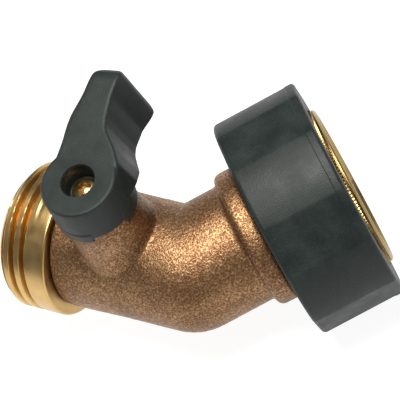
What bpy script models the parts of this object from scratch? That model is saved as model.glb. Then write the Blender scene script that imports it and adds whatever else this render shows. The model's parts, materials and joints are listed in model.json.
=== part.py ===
"""Brass hose connector with a 45 degree bend, a quarter-turn ball valve and a swivel inlet nut.

Metres, +Z up.  The origin is the centre of the inlet mouth.  +X points out of the inlet, +Z runs up
the valve stem, and both water passages lie in the XY plane.
"""

import math

import bmesh
import bpy
from mathutils import Matrix, Vector

# Overall layout
BEND_ANGLE = math.radians(45)
INLET_REACH = 0.0322          # elbow centre to the inlet mouth
OUTLET_REACH = 0.0337         # elbow centre to the outlet's end face
VALVE_REACH = 0.0120          # elbow centre to the stem axis, along the outlet
FIT_GAP = 0.0003              # gap kept between pieces that touch
OVERCUT = 0.0010              # how far a cutter reaches past the surface it opens

# Cast body
TUBE_RADIUS = 0.0112
WATERWAY_RADIUS = 0.0070
COLLAR_RADIUS = 0.01295
COLLAR_START = 0.0106
INLET_LEG = 0.0146
OUTLET_LEG = 0.0229
TAIL_SOCKET_DEPTH = 0.0066
CHAMBER_RADIUS = 0.0085
CHAMBER_START = 0.0047
CHAMBER_END = 0.0190
NIPPLE_SOCKET_RADIUS = 0.0095
BOSS_BASE_RADIUS = 0.0075
BOSS_TOP_RADIUS = 0.0066
BOSS_TOP = 0.0206
BOSS_SHOULDER = 0.0115
BOSS_FOOT = 0.0060
BOSS_FLARE = 0.0008
STEM_BORE_RADIUS = 0.0032
GLAND_RADIUS = 0.0045
GLAND_TOP = 0.0109

# Garden hose thread, 3/4-11.5
PITCH = 0.0254 / 11.5
MALE_MAJOR_RADIUS = 0.01349
MALE_MINOR_RADIUS = 0.01210
FEMALE_MAJOR_RADIUS = 0.01360
FEMALE_MINOR_RADIUS = 0.01222

# Outlet nipple
NIPPLE_TAIL_RADIUS = 0.0092
NIPPLE_TAIL_START = 0.0193
NIPPLE_LAND_START = 0.0232
NIPPLE_LAND_END = 0.0263
NIPPLE_THREAD_END = 0.0329
NIPPLE_NOSE_RADIUS = 0.0114
NIPPLE_BORE_RADIUS = 0.0088
NIPPLE_THROAT_RADIUS = 0.0066

# Ball, seats and stem
BALL_RADIUS = 0.0080
BALL_BORE_RADIUS = 0.0050
BALL_SLOT_WIDTH = 0.0028
BALL_SLOT_FLOOR = 0.0059
SEAT_INNER_RADIUS = 0.0054
SEAT_OUTER_RADIUS = 0.0082
SEAT_NEAR = 0.0037
SEAT_FAR = 0.0070
STEM_RADIUS = 0.0029
STEM_FLANGE_RADIUS = 0.0042
STEM_FLANGE_LOW = 0.0085
STEM_FLANGE_HIGH = 0.0095
STEM_TANG_WIDTH = 0.0022
STEM_TANG_LENGTH = 0.0066
STEM_TANG_LOW = 0.0062
STEM_SQUARE = 0.0040
STEM_TOP = 0.0230
STEM_GROOVE_RADIUS = 0.0017
STEM_GROOVE_WIDTH = 0.0019
STEM_GROOVE_HEIGHTS = {"lower": 0.0132, "upper": 0.0166}
O_RING_RADIUS = 0.00245
O_RING_SECTION = 0.0005
THRUST_WASHER_LOW = 0.0098
THRUST_WASHER_HIGH = 0.0106

# Lever
LEVER_AZIMUTH = math.radians(52)
HUB_LOW = BOSS_TOP + FIT_GAP
HUB_HIGH = 0.0286
HUB_TOP_RADIUS = 0.0069
HUB_LOW_RADIUS = 0.0075
SKIRT_INNER_RADIUS = 0.0071
SKIRT_OUTER_RADIUS = 0.0077
SKIRT_OVERLAP = 0.0013
LEVER_DRAFT = 0.10
# Sections of the arm: distance from the stem axis, reach to the left and right, low and high edge
LEVER_SECTIONS = (
    (0.0000, 0.0056, 0.0056, 0.0238, 0.0276),
    (0.0040, 0.0053, 0.0055, 0.0224, 0.0285),
    (0.0070, 0.0051, 0.0043, 0.0213, 0.0289),
    (0.0077, 0.0051, 0.0039, 0.0179, 0.0290),
    (0.0092, 0.0050, 0.0029, 0.0187, 0.0291),
    (0.0122, 0.0048, 0.0019, 0.0186, 0.0295),
    (0.0160, 0.0035, 0.0018, 0.0174, 0.0300),
    (0.0200, 0.0029, 0.0023, 0.0163, 0.0305),
    (0.0213, 0.0027, 0.0024, 0.0160, 0.0296),
    (0.0218, 0.0025, 0.0022, 0.0166, 0.0265),
)
RECESS_RADIUS = 0.0030
RECESS_FLOOR = 0.0245
SOCKET_TOP = STEM_TOP + FIT_GAP
# Lower skirt of the hub: the two sectors that meet the body's stop lug, from and to in degrees,
# and their low edges
SKIRT_SECTORS = ((-59.0, 96.0, 0.0192), (200.0, 249.0, 0.0199))
STOP_LUG_ANGLE = 103.0
STOP_LUG_WIDTH = 0.0015
STOP_LUG_RADIUS = 0.0076
STOP_LUG_LOW = 0.0150
STOP_LUG_LENGTH = 0.0030

# Lever screw
SCREW_HEAD_RADIUS = 0.00235
SCREW_HEAD_LOW = RECESS_FLOOR + FIT_GAP
SCREW_HEAD_HIGH = 0.0264
SCREW_SHANK_RADIUS = 0.00125
SCREW_END = 0.0190
SCREW_HOLE_RADIUS = 0.0016
CROSS_SIZE = (0.0028, 0.0007, 0.0018)

# Swivel inlet
TAIL_RADIUS = 0.0096
TAIL_BORE_RADIUS = 0.0075
TAIL_START = 0.0083
TAIL_FLANGE_RADIUS = 0.0126
TAIL_FLANGE_LOW = 0.0188
TAIL_FLANGE_HIGH = 0.0208
GRIP_BACK = INLET_LEG + FIT_GAP
GRIP_FRONT = 0.0311
GRIP_RADIUS = 0.0209
GRIP_LOBES = 6
GRIP_LAND_ANGLE = math.radians(33)
GRIP_EDGE = 0.0007
GRIP_WALL = 0.0015
GRIP_TILT = math.radians(16)
INSERT_RADIUS = 0.01525
INSERT_BACK = GRIP_BACK + GRIP_WALL + FIT_GAP
INSERT_LIP_RADIUS = 0.0105
INSERT_LIP_FRONT = TAIL_FLANGE_LOW - FIT_GAP
WASHER_BACK = TAIL_FLANGE_HIGH + FIT_GAP
WASHER_FRONT = 0.0241
WASHER_INNER_RADIUS = 0.0080
WASHER_OUTER_RADIUS = 0.0121
INLET_THREAD_START = 0.0245

SEGMENTS = 40

# Local frames: each has its +Z along the axis that its pieces are turned about
ELBOW = Vector((-INLET_REACH, 0, 0))
OUTLET_DIRECTION = Vector((-math.cos(BEND_ANGLE), math.sin(BEND_ANGLE), 0))
INLET_FRAME = Matrix.Translation(ELBOW) @ Matrix.Rotation(math.radians(90), 4, "Y")
OUTLET_FRAME = (Matrix.Translation(ELBOW)
                @ Matrix.Rotation(math.pi - BEND_ANGLE, 4, "Z")
                @ Matrix.Rotation(math.radians(90), 4, "Y"))
VALVE_FRAME = (Matrix.Translation(ELBOW + OUTLET_DIRECTION * VALVE_REACH)
               @ Matrix.Rotation(math.pi - BEND_ANGLE, 4, "Z"))


def clear_scene():
    for item in list(bpy.data.objects):
        bpy.data.objects.remove(item, do_unlink=True)


def new_collection(name):
    collection = bpy.data.collections.new(name)
    bpy.context.scene.collection.children.link(collection)
    return collection


def new_material(name, colour, roughness, metallic):
    material = bpy.data.materials.new(name)
    material.use_nodes = True
    shader = material.node_tree.nodes["Principled BSDF"]
    shader.inputs["Base Color"].default_value = (*colour, 1.0)
    shader.inputs["Roughness"].default_value = roughness
    shader.inputs["Metallic"].default_value = metallic
    return material


def add_object(name, mesh, collection, frame, material=None):
    item = bpy.data.objects.new(name, mesh)
    collection.objects.link(item)
    item.matrix_world = frame
    if material is not None:
        mesh.materials.append(material)
    return item


def as_cutter(item):
    """Keep a shape that only joins or cuts another one out of the model."""
    item.hide_render = True
    item.display_type = "WIRE"
    return item


def turned(name, profile, collection, frame, material=None, closed=True, segments=SEGMENTS):
    """Turn (radius, height) points, listed down the outer side, about the frame's Z axis."""
    mesh = bpy.data.meshes.new(name)
    count = len(profile)
    edges = [(i, i + 1) for i in range(count - 1)]
    if closed:
        edges.append((count - 1, 0))
    mesh.from_pydata([(radius, 0.0, height) for radius, height in profile], edges, [])
    item = add_object(name, mesh, collection, frame, material)
    screw = item.modifiers.new("turn", "SCREW")
    screw.axis = "Z"
    screw.angle = math.tau
    screw.steps = segments
    screw.render_steps = segments
    screw.use_merge_vertices = True
    screw.merge_threshold = 0.000001
    screw.use_smooth_shade = True
    return item


def solid_rod(name, radius, low, high, collection, frame, segments=SEGMENTS, top_radius=None):
    """A plain or tapered rod between two heights of the frame's Z axis."""
    mesh = bpy.data.meshes.new(name)
    shape = bmesh.new()
    bmesh.ops.create_cone(shape, cap_ends=True, segments=segments, radius1=radius,
                          radius2=radius if top_radius is None else top_radius, depth=high - low)
    bmesh.ops.translate(shape, verts=shape.verts, vec=(0, 0, (low + high) / 2))
    shape.to_mesh(mesh)
    shape.free()
    return as_cutter(add_object(name, mesh, collection, frame))


def solid_ball(name, radius, collection, frame, segments=SEGMENTS):
    mesh = bpy.data.meshes.new(name)
    shape = bmesh.new()
    bmesh.ops.create_uvsphere(shape, u_segments=segments, v_segments=segments // 2, radius=radius)
    shape.to_mesh(mesh)
    shape.free()
    return add_object(name, mesh, collection, frame)


def solid_block(name, size, centre, collection, frame):
    mesh = bpy.data.meshes.new(name)
    shape = bmesh.new()
    bmesh.ops.create_cube(shape, size=1.0)
    bmesh.ops.scale(shape, verts=shape.verts, vec=size)
    bmesh.ops.translate(shape, verts=shape.verts, vec=centre)
    shape.to_mesh(mesh)
    shape.free()
    return as_cutter(add_object(name, mesh, collection, frame))


def extruded(name, outline, low, high, collection, frame, material=None):
    """Extrude a closed flat outline between two heights of the frame's Z axis."""
    mesh = bpy.data.meshes.new(name)
    shape = bmesh.new()
    base = [shape.verts.new((x, y, low)) for x, y in outline]
    face = shape.faces.new(base)
    bmesh.ops.recalc_face_normals(shape, faces=[face])
    grown = bmesh.ops.extrude_face_region(shape, geom=[face])
    top = [part for part in grown["geom"] if isinstance(part, bmesh.types.BMVert)]
    bmesh.ops.translate(shape, verts=top, vec=(0, 0, high - low))
    bmesh.ops.recalc_face_normals(shape, faces=shape.faces)
    shape.to_mesh(mesh)
    shape.free()
    return add_object(name, mesh, collection, frame, material)


def bent_tube(name, radius, inlet_length, outlet_length, collection, segments=SEGMENTS, steps=5):
    """A closed rod that runs along both legs and turns about a rounded corner at the elbow.

    Every cross section at the corner holds the Z axis.  Its outer half swings round a ball, and its
    inner half lies in the plane where the two legs meet.
    """
    mesh = bpy.data.meshes.new(name)
    shape = bmesh.new()
    inner = Vector((-math.sin(BEND_ANGLE / 2), math.cos(BEND_ANGLE / 2), 0))
    inner_reach = radius / math.cos(BEND_ANGLE / 2)
    rings = [(0.0, inlet_length)] + [(step / steps, 0.0) for step in range(steps + 1)]
    rings.append((1.0, -outlet_length))
    columns = []
    for share, shift in rings:
        turn = -BEND_ANGLE * share
        outer = Vector((math.sin(turn), -math.cos(turn), 0))
        along = Vector((math.cos(turn), math.sin(turn), 0))
        column = []
        for number in range(segments):
            angle = math.tau * number / segments
            side = math.sin(angle)
            if shift:
                point = outer * side * radius + along * shift
            elif side >= 0:
                point = outer * side * radius
            else:
                point = inner * -side * inner_reach
            point.z = math.cos(angle) * radius
            column.append(shape.verts.new(ELBOW + point))
        columns.append(column)
    shape.faces.new(columns[0])
    shape.faces.new(list(reversed(columns[-1])))
    for left, right in zip(columns, columns[1:]):
        for number in range(segments):
            after = (number + 1) % segments
            shape.faces.new((left[number], right[number], right[after], left[after]))
    bmesh.ops.remove_doubles(shape, verts=shape.verts, dist=0.000002)
    bmesh.ops.dissolve_degenerate(shape, edges=shape.edges, dist=0.000002)
    bmesh.ops.recalc_face_normals(shape, faces=shape.faces)
    shape.to_mesh(mesh)
    shape.free()
    mesh.shade_smooth()
    mesh.set_sharp_from_angle(angle=math.radians(30))
    return add_object(name, mesh, collection, Matrix.Identity(4))


def boolean(item, other, operation):
    modifier = item.modifiers.new(operation.lower() + " " + other.name, "BOOLEAN")
    modifier.operation = operation
    modifier.solver = "EXACT"
    modifier.object = other


def arc(centre, radius, start, end, steps):
    """Points of an arc, angles in degrees, as (radius, height) or (x, y) pairs."""
    points = []
    for step in range(steps + 1):
        angle = math.radians(start + (end - start) * step / steps)
        points.append((centre[0] + radius * math.cos(angle), centre[1] + radius * math.sin(angle)))
    return points


def threaded_ring(name, thread, other_side, collection, frame, material):
    """A ring with a thread on one wall.

    thread gives the wall's minor and major radius, its two ends and the radius at both ends.
    other_side lists (radius, height) points from the far end back to the near end.
    """
    low, high = thread["low"], thread["high"]
    # Height and share of the ridge at the four corners of one pitch
    ridge = ((0.00, 0.0), (0.36, 1.0), (0.50, 1.0), (0.86, 0.0))
    turns = math.ceil((high - low) / PITCH) + 2
    columns = []
    shape = bmesh.new()
    for step in range(SEGMENTS + 1):
        share = step / SEGMENTS
        angle = math.tau * share
        column = []
        for turn in range(-1, turns):
            for rise, part in ridge:
                height = low + PITCH * (turn + rise + share)
                inside = low < height < high
                height = min(max(height, low), high)
                radius = thread["base"] + (thread["ridge"] - thread["base"]) * (part if inside else 0)
                column.append((radius, height))
        column = [(thread["base"], low)] + column + [(thread["base"], high)] + list(other_side)
        columns.append([shape.verts.new((r * math.cos(angle), r * math.sin(angle), h))
                        for r, h in column])
    count = len(columns[0])
    for left, right in zip(columns, columns[1:]):
        for row in range(count):
            after = (row + 1) % count
            shape.faces.new((left[row], left[after], right[after], right[row]))
    bmesh.ops.remove_doubles(shape, verts=shape.verts, dist=0.000002)
    bmesh.ops.dissolve_degenerate(shape, edges=shape.edges, dist=0.000002)
    bmesh.ops.recalc_face_normals(shape, faces=shape.faces)
    mesh = bpy.data.meshes.new(name)
    shape.to_mesh(mesh)
    shape.free()
    mesh.shade_smooth()
    mesh.set_sharp_from_angle(angle=math.radians(30))
    return add_object(name, mesh, collection, frame, material)


def build_body(parts, cutters, material):
    """Cast elbow: two legs, a rounded corner, the valve boss, the inlet collar and the stop lug."""
    edge = 0.0009
    body = bent_tube("body_casting", TUBE_RADIUS, INLET_LEG - edge, OUTLET_LEG, parts)
    body.data.materials.append(material)
    collar = as_cutter(turned("inlet_collar", [
        (0.0, INLET_LEG),
        (COLLAR_RADIUS - edge, INLET_LEG),
        (COLLAR_RADIUS, INLET_LEG - edge),
        (COLLAR_RADIUS, COLLAR_START + edge),
        (COLLAR_RADIUS - edge, COLLAR_START),
        (0.0, COLLAR_START),
    ], cutters, INLET_FRAME, closed=False))
    boss = as_cutter(turned("valve_boss", [
        (0.0, BOSS_TOP),
        (BOSS_TOP_RADIUS, BOSS_TOP),
        (BOSS_BASE_RADIUS, BOSS_SHOULDER),
        (BOSS_BASE_RADIUS + BOSS_FLARE, BOSS_FOOT),
        (0.0, BOSS_FOOT),
    ], cutters, VALVE_FRAME, closed=False, segments=33))
    lug_frame = VALVE_FRAME @ Matrix.Rotation(
        math.radians(STOP_LUG_ANGLE) - (math.pi - BEND_ANGLE), 4, "Z")
    lug_height = HUB_LOW - 0.0005 - STOP_LUG_LOW
    lug = solid_block("stop_lug", (STOP_LUG_LENGTH, STOP_LUG_WIDTH, lug_height),
                      (STOP_LUG_RADIUS - STOP_LUG_LENGTH / 2, 0, STOP_LUG_LOW + lug_height / 2),
                      cutters, lug_frame)
    for piece in (collar, boss, lug):
        boolean(body, piece, "UNION")
    cuts = (
        as_cutter(bent_tube("waterway", WATERWAY_RADIUS, INLET_LEG + OVERCUT,
                            CHAMBER_START + OVERCUT, cutters, 32, 4)),
        solid_rod("tail_socket", TAIL_RADIUS + FIT_GAP, INLET_LEG - TAIL_SOCKET_DEPTH,
                  INLET_LEG + 2 * OVERCUT, cutters, INLET_FRAME),
        solid_rod("ball_chamber", CHAMBER_RADIUS, CHAMBER_START, CHAMBER_END + OVERCUT, cutters,
                  OUTLET_FRAME),
        solid_rod("nipple_socket", NIPPLE_SOCKET_RADIUS, CHAMBER_END, OUTLET_LEG + 2 * OVERCUT, cutters,
                  OUTLET_FRAME),
        solid_rod("stem_bore", STEM_BORE_RADIUS, BOSS_FOOT, BOSS_TOP + OVERCUT, cutters,
                  VALVE_FRAME, 24),
        solid_rod("gland", GLAND_RADIUS, BOSS_FOOT, GLAND_TOP, cutters, VALVE_FRAME, 24),
    )
    for piece in cuts:
        boolean(body, piece, "DIFFERENCE")
    return body


def build_nipple(parts, material):
    """Outlet end piece: a tail that screws into the body, a land and the male hose thread."""
    chamfer = 0.0005
    thread = {"low": NIPPLE_LAND_END, "high": NIPPLE_THREAD_END,
              "base": MALE_MINOR_RADIUS, "ridge": MALE_MAJOR_RADIUS}
    return threaded_ring("outlet_nipple", thread, [
        (MALE_MINOR_RADIUS, OUTLET_REACH - chamfer),
        (NIPPLE_NOSE_RADIUS, OUTLET_REACH),
        (NIPPLE_BORE_RADIUS, OUTLET_REACH),
        (NIPPLE_BORE_RADIUS, NIPPLE_LAND_START + 0.0016),
        (NIPPLE_THROAT_RADIUS, NIPPLE_LAND_START + 0.0004),
        (NIPPLE_THROAT_RADIUS, NIPPLE_TAIL_START),
        (NIPPLE_TAIL_RADIUS, NIPPLE_TAIL_START),
        (NIPPLE_TAIL_RADIUS, NIPPLE_LAND_START),
        (MALE_MAJOR_RADIUS - chamfer, NIPPLE_LAND_START),
        (MALE_MAJOR_RADIUS, NIPPLE_LAND_START + chamfer),
        (MALE_MAJOR_RADIUS, NIPPLE_LAND_END - chamfer),
    ], parts, OUTLET_FRAME, material)


def build_ball(parts, cutters, material):
    """Valve ball, bored across the flow at rest, with a slot that takes the stem's tang."""
    ball = solid_ball("valve_ball", BALL_RADIUS, parts, VALVE_FRAME, 32)
    ball.data.materials.append(material)
    ball.data.shade_smooth()
    across = VALVE_FRAME @ Matrix.Rotation(math.radians(90), 4, "X")
    boolean(ball, solid_rod("ball_bore", BALL_BORE_RADIUS, -BALL_RADIUS - OVERCUT,
                            BALL_RADIUS + OVERCUT, cutters, across, 28),
            "DIFFERENCE")
    slot_height = BALL_RADIUS + OVERCUT - BALL_SLOT_FLOOR
    slot = solid_block("ball_slot", (2 * (BALL_RADIUS + OVERCUT), BALL_SLOT_WIDTH, slot_height),
                       (0, 0, BALL_SLOT_FLOOR + slot_height / 2), cutters, VALVE_FRAME)
    boolean(ball, slot, "DIFFERENCE")
    return ball


def build_seats(parts, material):
    """Two seat rings that cup the ball, one on each side along the flow."""
    cup_radius = BALL_RADIUS + FIT_GAP
    steps = 4
    inner_height = math.sqrt(cup_radius ** 2 - SEAT_INNER_RADIUS ** 2)
    start = math.atan2(SEAT_NEAR, math.sqrt(cup_radius ** 2 - SEAT_NEAR ** 2))
    end = math.atan2(inner_height, SEAT_INNER_RADIUS)
    cup = arc((0.0, 0.0), cup_radius, math.degrees(start), math.degrees(end), steps)
    profile = [(SEAT_INNER_RADIUS, SEAT_FAR), (SEAT_OUTER_RADIUS, SEAT_FAR),
               (SEAT_OUTER_RADIUS, SEAT_NEAR)] + cup
    along_flow = VALVE_FRAME @ Matrix.Rotation(math.radians(90), 4, "Y")
    against_flow = VALVE_FRAME @ Matrix.Rotation(math.radians(-90), 4, "Y")
    turned("seat_ring_outlet", profile, parts, along_flow, material)
    turned("seat_ring_inlet", profile, parts, against_flow, material)


def build_stem(parts, cutters, material):
    """Stem: tang, thrust flange, shaft with two seal grooves, and a square end with a tapped hole."""
    half = STEM_GROOVE_WIDTH / 2
    profile = [(0.0, HUB_LOW), (STEM_RADIUS, HUB_LOW)]
    for height in sorted(STEM_GROOVE_HEIGHTS.values(), reverse=True):
        profile += [(STEM_RADIUS, height + half), (STEM_GROOVE_RADIUS, height + half),
                    (STEM_GROOVE_RADIUS, height - half), (STEM_RADIUS, height - half)]
    profile += [(STEM_RADIUS, STEM_FLANGE_HIGH), (STEM_FLANGE_RADIUS, STEM_FLANGE_HIGH),
                (STEM_FLANGE_RADIUS, STEM_FLANGE_LOW), (0.0, STEM_FLANGE_LOW)]
    stem = turned("valve_stem", profile, parts, VALVE_FRAME, material, closed=False, segments=24)
    tang_height = STEM_FLANGE_LOW + 0.0005 - STEM_TANG_LOW
    boolean(stem, solid_block("stem_tang", (STEM_TANG_LENGTH, STEM_TANG_WIDTH, tang_height),
                              (0, 0, STEM_TANG_LOW + tang_height / 2), cutters, VALVE_FRAME),
            "UNION")
    square_low = HUB_LOW - 0.0005
    boolean(stem, solid_block("stem_square", (STEM_SQUARE, STEM_SQUARE, STEM_TOP - square_low),
                              (0, 0, (STEM_TOP + square_low) / 2), cutters, VALVE_FRAME), "UNION")
    boolean(stem, solid_rod("stem_tapped_hole", SCREW_SHANK_RADIUS + FIT_GAP, SCREW_END - 0.0006,
                            STEM_TOP + OVERCUT, cutters, VALVE_FRAME, 20), "DIFFERENCE")


def build_stem_seals(parts, rubber, polymer):
    for place, height in STEM_GROOVE_HEIGHTS.items():
        ring = arc((O_RING_RADIUS, height), O_RING_SECTION, 90, -234, 9)
        turned("stem_o_ring_" + place, ring, parts, VALVE_FRAME, rubber, segments=24)
    turned("stem_thrust_washer", [
        (STEM_BORE_RADIUS, THRUST_WASHER_HIGH),
        (STEM_FLANGE_RADIUS, THRUST_WASHER_HIGH),
        (STEM_FLANGE_RADIUS, THRUST_WASHER_LOW),
        (STEM_BORE_RADIUS, THRUST_WASHER_LOW),
    ], parts, VALVE_FRAME, polymer, segments=24)


def lever_frame():
    place = Matrix.Translation(ELBOW + OUTLET_DIRECTION * VALVE_REACH)
    return place @ Matrix.Rotation(LEVER_AZIMUTH, 4, "Z")


def build_lever_arm(cutters, frame):
    """Arm lofted through four-cornered sections that stand across it, widening downwards."""
    shape = bmesh.new()
    sections = []
    for along, left, right, low, high in LEVER_SECTIONS:
        spread = LEVER_DRAFT * (high - low)
        corners = ((left, high), (-right, high), (-right - spread, low), (left + spread, low))
        sections.append([shape.verts.new((along, side, height)) for side, height in corners])
    for near, far in zip(sections, sections[1:]):
        for corner in range(4):
            after = (corner + 1) % 4
            shape.faces.new((near[corner], near[after], far[after], far[corner]))
    shape.faces.new(sections[0])
    shape.faces.new(list(reversed(sections[-1])))
    bmesh.ops.recalc_face_normals(shape, faces=shape.faces)
    bmesh.ops.triangulate(shape, faces=shape.faces)
    mesh = bpy.data.meshes.new("lever_arm")
    shape.to_mesh(mesh)
    shape.free()
    return as_cutter(add_object("lever_arm", mesh, cutters, frame))


def ring_sector(name, inner, outer, low, high, start, end, collection, frame):
    steps = max(2, round((end - start) / 9))
    outline = arc((0, 0), outer, start, end, steps) + arc((0, 0), inner, end, start, steps)
    return as_cutter(extruded(name, outline, low, high, collection, frame))


def build_lever(parts, cutters, material):
    """Lever: a round hub with a raised arm, a screw recess, a square socket and a stop skirt."""
    frame = lever_frame()
    edge = 0.0005
    lever = turned("lever_handle", [
        (0.0, HUB_HIGH),
        (HUB_TOP_RADIUS - edge, HUB_HIGH),
        (HUB_TOP_RADIUS, HUB_HIGH - edge),
        (HUB_LOW_RADIUS, HUB_LOW),
        (0.0, HUB_LOW),
    ], parts, frame, material, closed=False)
    flat = Matrix.Translation(frame.translation)
    for number, (start, end, low) in enumerate(SKIRT_SECTORS, 1):
        skirt = ring_sector("skirt_sector_%d" % number, SKIRT_INNER_RADIUS, SKIRT_OUTER_RADIUS,
                            low, HUB_LOW + SKIRT_OVERLAP, start, end, cutters, flat)
        boolean(lever, skirt, "UNION")
    boolean(lever, build_lever_arm(cutters, frame), "UNION")
    recess = solid_rod("screw_recess", RECESS_RADIUS, RECESS_FLOOR, HUB_HIGH + 2 * OVERCUT, cutters,
                       frame)
    hole = solid_rod("screw_hole", SCREW_HOLE_RADIUS, HUB_LOW - OVERCUT, HUB_HIGH, cutters, frame,
                     20)
    width = STEM_SQUARE + 2 * FIT_GAP
    socket = solid_block("square_socket", (width, width, SOCKET_TOP - HUB_LOW + OVERCUT),
                         (0, 0, (SOCKET_TOP + HUB_LOW - OVERCUT) / 2), cutters, VALVE_FRAME)
    for piece in (socket, recess, hole):
        boolean(lever, piece, "DIFFERENCE")
    return lever


def build_lever_screw(parts, cutters, material):
    """Round-headed screw with a cross recess."""
    frame = lever_frame()
    edge = 0.0006
    screw = turned("lever_screw", [
        (0.0, SCREW_HEAD_HIGH),
        (SCREW_HEAD_RADIUS - 2 * edge, SCREW_HEAD_HIGH - 0.0001),
        (SCREW_HEAD_RADIUS - edge / 2, SCREW_HEAD_HIGH - edge),
        (SCREW_HEAD_RADIUS, SCREW_HEAD_LOW + 0.0005),
        (SCREW_HEAD_RADIUS, SCREW_HEAD_LOW),
        (SCREW_SHANK_RADIUS, SCREW_HEAD_LOW),
        (SCREW_SHANK_RADIUS, SCREW_END + edge),
        (SCREW_SHANK_RADIUS - edge, SCREW_END),
        (0.0, SCREW_END),
    ], parts, frame, material, closed=False, segments=24)
    for turn in (0, 90):
        slot_frame = frame @ Matrix.Rotation(math.radians(20 + turn), 4, "Z")
        slot = solid_block("cross_recess_%d" % turn, CROSS_SIZE, (0, 0, SCREW_HEAD_HIGH), cutters,
                           slot_frame)
        boolean(screw, slot, "DIFFERENCE")
    return screw


def build_tailpiece(parts, material):
    """Flanged tube pressed into the collar: it traps the nut and carries the sealing washer."""
    turned("swivel_tailpiece", [
        (TAIL_BORE_RADIUS, TAIL_FLANGE_HIGH),
        (TAIL_FLANGE_RADIUS, TAIL_FLANGE_HIGH),
        (TAIL_FLANGE_RADIUS, TAIL_FLANGE_LOW),
        (TAIL_RADIUS, TAIL_FLANGE_LOW),
        (TAIL_RADIUS, TAIL_START),
        (TAIL_BORE_RADIUS, TAIL_START),
    ], parts, INLET_FRAME, material)


def build_washer(parts, material):
    turned("inlet_washer", [
        (WASHER_INNER_RADIUS, WASHER_FRONT),
        (WASHER_OUTER_RADIUS, WASHER_FRONT),
        (WASHER_OUTER_RADIUS, WASHER_BACK),
        (WASHER_INNER_RADIUS, WASHER_BACK),
    ], parts, INLET_FRAME, material)


def build_insert(parts, material):
    """Brass insert of the nut: a back lip behind the flange and the female hose thread."""
    chamfer = 0.0005
    thread = {"low": INLET_THREAD_START, "high": INLET_REACH - 0.0008,
              "base": FEMALE_MAJOR_RADIUS, "ridge": FEMALE_MINOR_RADIUS}
    return threaded_ring("nut_insert", thread, [
        (FEMALE_MAJOR_RADIUS + 0.0002, INLET_REACH),
        (INSERT_RADIUS - chamfer, INLET_REACH),
        (INSERT_RADIUS, INLET_REACH - chamfer),
        (INSERT_RADIUS, INSERT_BACK),
        (INSERT_LIP_RADIUS, INSERT_BACK),
        (INSERT_LIP_RADIUS, INSERT_LIP_FRONT),
        (FEMALE_MAJOR_RADIUS, INSERT_LIP_FRONT),
    ], parts, INLET_FRAME, material)


def grip_outline():
    """Six round lands joined by six flats."""
    points = []
    for lobe in range(GRIP_LOBES):
        middle = math.tau * lobe / GRIP_LOBES + GRIP_TILT
        start = math.degrees(middle - GRIP_LAND_ANGLE / 2)
        points += arc((0, 0), GRIP_RADIUS, start, start + math.degrees(GRIP_LAND_ANGLE), 4)
    return points


def build_grip(parts, cutters, material):
    """Plastic grip moulded over the insert."""
    grip = extruded("nut_grip", grip_outline(), GRIP_BACK, GRIP_FRONT, parts, INLET_FRAME, material)
    bevel = grip.modifiers.new("rounded edges", "BEVEL")
    bevel.width = GRIP_EDGE
    bevel.segments = 2
    bevel.limit_method = "ANGLE"
    bevel.angle_limit = math.radians(60)
    boolean(grip, solid_rod("insert_pocket", INSERT_RADIUS + FIT_GAP, INSERT_BACK - FIT_GAP,
                            GRIP_FRONT + OVERCUT, cutters, INLET_FRAME), "DIFFERENCE")
    boolean(grip, solid_rod("tail_hole", INSERT_LIP_RADIUS + FIT_GAP, GRIP_BACK - OVERCUT,
                            INSERT_BACK + OVERCUT, cutters, INLET_FRAME), "DIFFERENCE")
    return grip


def main():
    clear_scene()
    parts = new_collection("hose_connector")
    cutters = new_collection("cutters")
    bronze = new_material("cast_bronze", (0.42, 0.22, 0.12), 0.45, 0.9)
    brass = new_material("machined_brass", (0.72, 0.48, 0.14), 0.22, 1.0)
    chrome = new_material("plated_ball", (0.75, 0.75, 0.77), 0.1, 1.0)
    plastic = new_material("black_plastic", (0.03, 0.035, 0.034), 0.55, 0.0)
    polymer = new_material("white_polymer", (0.85, 0.85, 0.83), 0.5, 0.0)
    rubber = new_material("black_rubber", (0.03, 0.03, 0.03), 0.8, 0.0)

    build_body(parts, cutters, bronze)
    build_nipple(parts, brass)
    build_seats(parts, polymer)
    build_ball(parts, cutters, chrome)
    build_stem(parts, cutters, brass)
    build_stem_seals(parts, rubber, polymer)
    build_lever(parts, cutters, plastic)
    build_lever_screw(parts, cutters, brass)
    build_tailpiece(parts, brass)
    build_washer(parts, rubber)
    build_insert(parts, brass)
    build_grip(parts, cutters, plastic)


main()
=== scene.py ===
"""Looks of an angled hose shut-off connector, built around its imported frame.

Metres, +Z up.  The origin is the centre of the inlet mouth.  +X runs out of the inlet, +Z runs up
the valve stem, and both water passages lie in the XY plane.
"""

import json
import logging
import math
from collections.abc import Callable, Sequence
from dataclasses import dataclass, field
from enum import Enum
from typing import Any

import bmesh
import bpy
import numpy as np
from mathutils import Matrix, Vector, noise


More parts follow.
